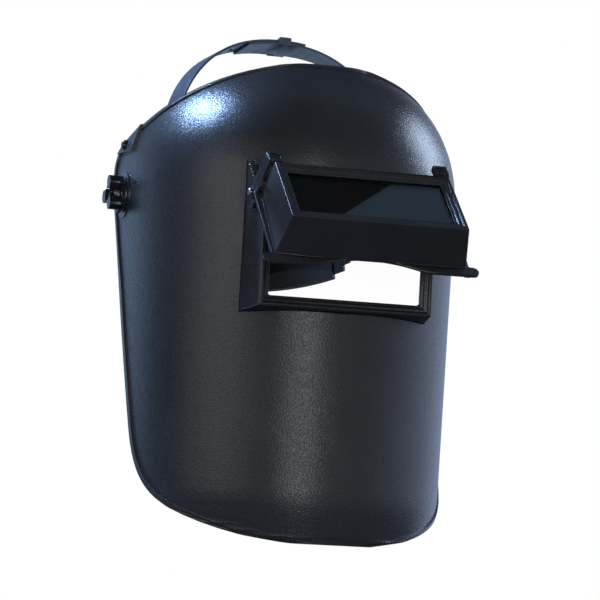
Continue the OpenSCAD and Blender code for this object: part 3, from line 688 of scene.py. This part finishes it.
class HELMET_OT_bands(bpy.types.Operator):
    """Finishes the forehead band, the crown strap and the nape straps"""

    bl_idname = "helmet.bands"
    bl_label = "Bands and straps"

    def execute(self, context):
        look = context.scene.helmet_finish
        dressed(look, "forehead_band", "Headgear plastic", look.band_edge, roomy=True)
        dressed(look, "band_rivets", "Knob plastic", look.small_edge)
        for side in SIDES:
            dressed(look, "crown_strap_" + side, "Strap plastic", look.band_edge, roomy=True)
            dressed(look, "nape_strap_" + side, "Headgear plastic", look.band_edge, roomy=True)
        return {"FINISHED"}


class HELMET_OT_nape(bpy.types.Operator):
    """Finishes the nape pad and the ratchet"""

    bl_idname = "helmet.nape"
    bl_label = "Nape pad and ratchet"

    def execute(self, context):
        look = context.scene.helmet_finish
        for node in ("nape_pad", "ratchet_base", "ratchet_cover"):
            dressed(look, node, "Headgear plastic", look.band_edge)
        dressed(look, "ratchet_pinion", "Rack plastic", 0.0)
        dressed(look, "ratchet_knob", "Knob plastic", look.band_edge)
        return {"FINISHED"}


class HELMET_OT_sweatband(bpy.types.Operator):
    """Fills the padded sweatband"""

    bl_idname = "helmet.sweatband"
    bl_label = "Sweatband"

    def execute(self, context):
        sewing = context.scene.helmet_padding
        pad = new_piece("sweatband_padding", "sweatband_form", cad_form("sweatband"))
        remesh = pad.modifiers.new("Even mesh", "REMESH")
        remesh.mode = "VOXEL"
        remesh.voxel_size = sewing.voxel
        bake_modifiers(pad)
        swell(context.scene, pad, sewing)
        smooth_cloth(pad)
        pad.data.shade_smooth()
        pad.data.materials.append(finish_of(context.scene.helmet_finish, "Sweatband cloth"))
        divide(pad, "Smooth cloth")
        stand_for(pad, "sweatband")
        return {"FINISHED"}


class HELMET_OT_stage(bpy.types.Operator):
    """Sets up the floor, the white studio, the lights and the camera"""

    bl_idname = "helmet.stage"
    bl_label = "Stage"

    def execute(self, context):
        scene = context.scene
        stage = scene.helmet_stage
        scene.view_settings.view_transform = "Standard"
        make_floor(stage)
        make_world(scene)
        for name, place, size, level, colour in SOFT_BOXES:
            turn = (SOFT_BOX_AIM - Vector(place)).to_track_quat("-Z", "Y").to_euler()
            soft_box(name, place, turn, size, getattr(stage, level), colour)
        card_turn = (0.0, 0.0, math.radians(CARD_TURN))
        soft_box("Card", CARD_PLACE, card_turn, CARD_SIZE, stage.card_level, CARD_COLOUR)
        make_camera(scene, stage)
        return {"FINISHED"}


def soft_box(name, place, turn, size, level, colour):
    """Rectangular light that the camera doesn't see."""
    lamp = bpy.data.lights.new(name, "AREA")
    lamp.shape = "RECTANGLE"
    lamp.size, lamp.size_y = size
    lamp.energy = level
    lamp.color = colour
    box = link(bpy.data.objects.new(name, lamp))
    box.location = place
    box.rotation_euler = turn
    box.visible_camera = False


def make_floor(stage):
    """Round floor under the helmet."""
    form = bmesh.new()
    bmesh.ops.create_circle(form, cap_ends=True, segments=FLOOR_SIDES, radius=FLOOR_RADIUS)
    bmesh.ops.translate(form, verts=form.verts, vec=(0.0, 0.0, stage.floor_drop))
    floor = new_piece("Floor", "floor_form", form)
    floor.data.materials.append(pale_floor("Pale floor"))


def pale_floor(name):
    """Pale floor that fades to white away from the helmet.

    It is dark for the light that the helmet gets from it, and its back mirrors as the backdrop.
    """
    surface = Surface(name)
    speck = surface.spread(surface.grain(scale=90.0, detail=3.0))
    pale = surface.tint(speck, FLOOR_PALE, FLOOR_PALER)
    surface.give(Base_Color=surface.tint(surface.seen(), FLOOR_DARK, pale), Roughness=0.85)
    flat = surface.add("ShaderNodeVectorMath", {"operation": "MULTIPLY"})
    surface.put(flat, 0, surface.place)
    surface.put(flat, 1, (1.0, 1.0, 0.0))
    away = surface.add("ShaderNodeVectorMath", {"operation": "LENGTH"})
    surface.put(away, 0, flat.outputs[0])
    fade = surface.math(
        "MULTIPLY", surface.spread(away.outputs["Value"], *FLOOR_FADE), surface.seen()
    )
    mirrored = surface.add("ShaderNodeLightPath").outputs["Is Glossy Ray"]
    depth = surface.add("ShaderNodeSeparateXYZ", Vector=surface.place).outputs["Y"]
    back = surface.math("MULTIPLY", mirrored, surface.spread(depth, *FLOOR_BACK))
    glow = surface.add(
        "ShaderNodeEmission", Color=surface.tint(mirrored, WHITE, FLOOR_BLUE), Strength=1.0
    )
    blend = surface.add("ShaderNodeMixShader")
    share = surface.math("MAXIMUM", fade, back)
    for key, value in enumerate((share, surface.shader.outputs[0], glow.outputs[0])):
        surface.put(blend, key, value)
    surface.put(surface.tree.nodes["Material Output"], "Surface", blend.outputs[0])
    return surface.material


def make_world(scene):
    """White for the camera, soft light for dull surfaces, and a room for the gloss to mirror.

    The room is dark, with grey walls in front, a blue one on the right and a backdrop behind.
    """
    world = bpy.data.worlds.new("Studio")
    scene.world = world
    nodes = Nodes(world)
    path = nodes.add("ShaderNodeLightPath").outputs
    ray = nodes.add("ShaderNodeTexCoord").outputs["Generated"]
    way = nodes.add("ShaderNodeSeparateXYZ", Vector=ray).outputs
    backdrop = nodes.math(
        "MULTIPLY",
        nodes.spread(way["Y"], *BACKDROP_BACK),
        nodes.spread(way["Z"], *BACKDROP_TOP, to_low=1.0, to_high=0.0),
    )
    height = nodes.math("ABSOLUTE", way["Z"])
    level = nodes.spread(height, *WALL_HEIGHT, to_low=1.0, to_high=0.0)
    front = nodes.spread(way["Y"], *WALL_FRONT, to_low=1.0, to_high=0.0)
    walls = nodes.tint(nodes.math("MULTIPLY", level, front), ROOM_DARK, WALL_GREY)
    right = nodes.math(
        "ADD",
        nodes.math("MULTIPLY", way["X"], WALL_RIGHT_X),
        nodes.math("MULTIPLY", way["Y"], WALL_RIGHT_Y),
    )
    blue = nodes.math("MULTIPLY", level, nodes.spread(right, *WALL_RIGHT))
    room = nodes.tint(backdrop, nodes.tint(blue, walls, WALL_BLUE), BACKDROP)
    even = nodes.tint(nodes.spread(way["Z"], *SOFT_HEIGHT), SOFT_LOW, SOFT_HIGH)
    light = nodes.tint(path["Is Diffuse Ray"], room, even)
    through = nodes.math(
        "MULTIPLY", path["Is Transmission Ray"], nodes.spread(backdrop, *BACKDROP_SEEN)
    )
    white = nodes.math("MAXIMUM", path["Is Camera Ray"], through)
    surface = nodes.tree.nodes["Background"]
    nodes.put(surface, "Color", nodes.tint(white, light, WHITE))
    nodes.put(surface, "Strength", 1.0)


def make_camera(scene, stage):
    """Camera at the photograph's place."""
    turn, rise, roll = stage.azimuth, stage.elevation, stage.roll
    back = Vector(
        (math.sin(turn) * math.cos(rise), -math.cos(turn) * math.cos(rise), math.sin(rise))
    )
    right = Vector((math.cos(turn), math.sin(turn), 0.0))
    up = back.cross(right)
    across = math.cos(roll) * right + math.sin(roll) * up
    upward = math.cos(roll) * up - math.sin(roll) * right
    forward = (-back + stage.aim_side * across + stage.aim_up * upward).normalized()
    side = forward.cross(upward).normalized()
    top = side.cross(forward)
    lens = bpy.data.cameras.new("Camera")
    lens.lens = stage.lens
    lens.sensor_width = SENSOR_WIDTH
    lens.clip_start, lens.clip_end = CLIP_START, CLIP_END
    camera = link(bpy.data.objects.new("Camera", lens))
    axes = Matrix((side, top, -forward)).transposed().to_4x4()
    camera.matrix_world = Matrix.Translation(LIFT_HINGE + back * stage.distance) @ axes
    scene.camera = camera


class HELMET_PT_tools(bpy.types.Panel):
    """Lists the helmet's pieces and its stage"""

    bl_idname = "HELMET_PT_tools"
    bl_label = "Helmet"
    bl_space_type = "VIEW_3D"
    bl_region_type = "UI"
    bl_category = "Helmet"

    def draw(self, context):
        for group in GROUPS:
            box = self.layout.box()
            settings = getattr(context.scene, group)
            for key in settings.__annotations__:
                box.prop(settings, key)
        for operator in OPERATORS:
            self.layout.operator(operator.bl_idname)


GROUPS = {
    "helmet_finish": HelmetFinish,
    "helmet_padding": HelmetPadding,
    "helmet_stage": HelmetStage,
}
OPERATORS = (
    HELMET_OT_shell,
    HELMET_OT_window,
    HELMET_OT_lift_front,
    HELMET_OT_pins,
    HELMET_OT_pivots,
    HELMET_OT_bands,
    HELMET_OT_nape,
    HELMET_OT_sweatband,
    HELMET_OT_stage,
)


def register():
    """Adds the settings, the operators and the panel."""
    for name, group in GROUPS.items():
        bpy.utils.register_class(group)
        setattr(bpy.types.Scene, name, PointerProperty(type=group))
    for operator in OPERATORS:
        bpy.utils.register_class(operator)
    bpy.utils.register_class(HELMET_PT_tools)


def unregister():
    """Takes away the panel, the operators and the settings."""
    bpy.utils.unregister_class(HELMET_PT_tools)
    for operator in reversed(OPERATORS):
        bpy.utils.unregister_class(operator)
    for name, group in reversed(GROUPS.items()):
        delattr(bpy.types.Scene, name)
        bpy.utils.unregister_class(group)


def main():
    """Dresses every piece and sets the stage."""
    register()
    bpy.ops.helmet.shell()
    bpy.ops.helmet.window()
    bpy.ops.helmet.lift_front()
    bpy.ops.helmet.pins()
    bpy.ops.helmet.pivots()
    bpy.ops.helmet.bands()
    bpy.ops.helmet.nape()
    bpy.ops.helmet.sweatband()
    bpy.ops.helmet.stage()


if __name__ == "__main__":
    main()
